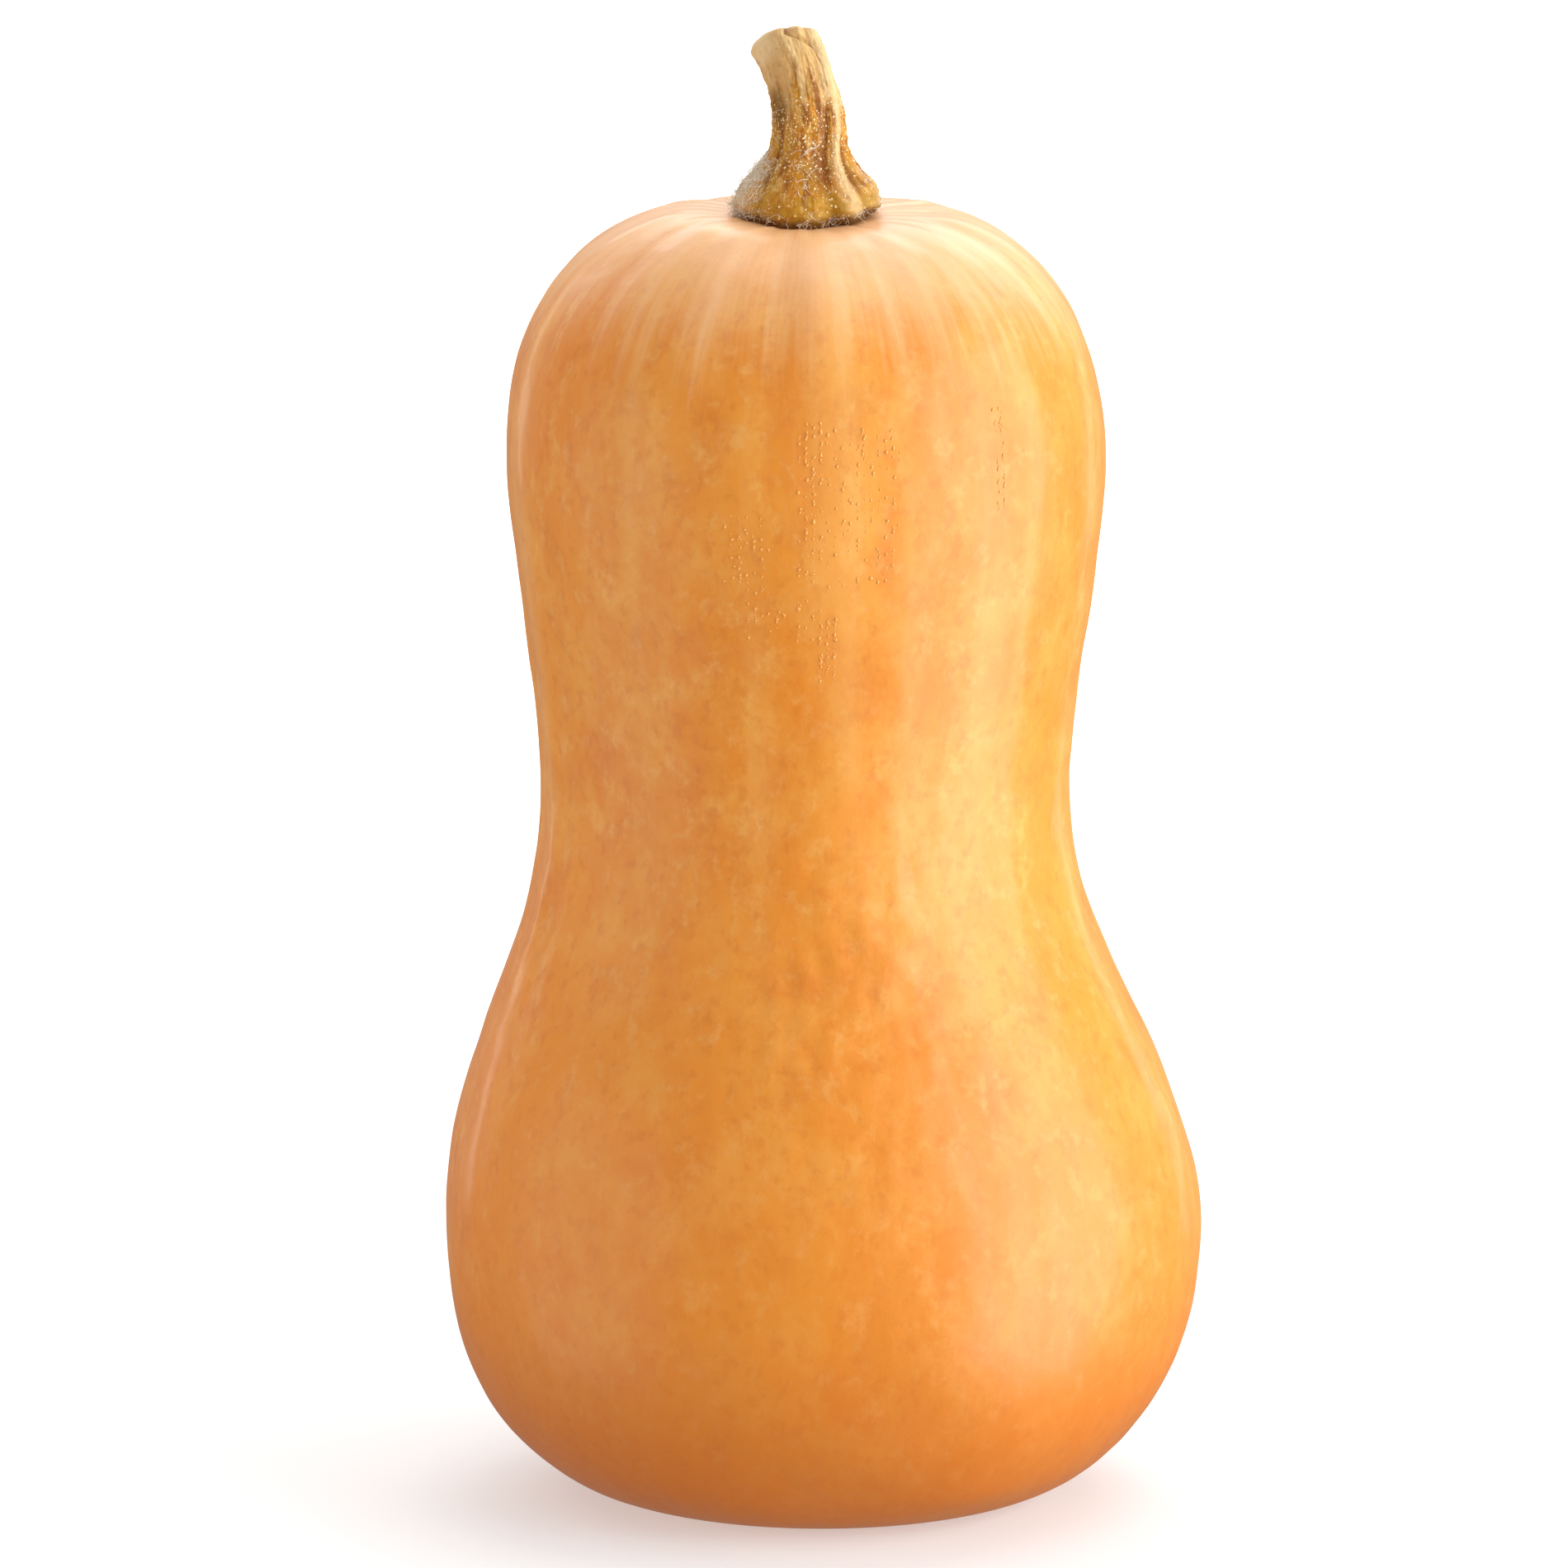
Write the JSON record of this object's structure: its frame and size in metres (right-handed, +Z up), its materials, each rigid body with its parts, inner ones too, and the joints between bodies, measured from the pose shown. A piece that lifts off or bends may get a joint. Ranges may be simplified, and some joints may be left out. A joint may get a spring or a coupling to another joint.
{
  "type": "butternut squash",
  "caption": "Whole butternut squash with a solid neck, a swollen bulb and a ribbed woody stem, standing on its blossom end.",
  "frame": {"origin": "middle of the base, on the surface the squash stands on", "axes": "+Z up from the blossom end to the stem, -Y towards the front, +X to the right seen from the front"},
  "size_m": [0.1257, 0.1238, 0.2455],
  "materials": {
    "squash_rind": "satin waxy rind, clouded orange",
    "stem_wood": "dry matt woody stem, straw to rust"
  },
  "bodies": {
    "root": {"fruit": "squash_rind", "stem": "stem_wood"}
  },
  "joints": []
}
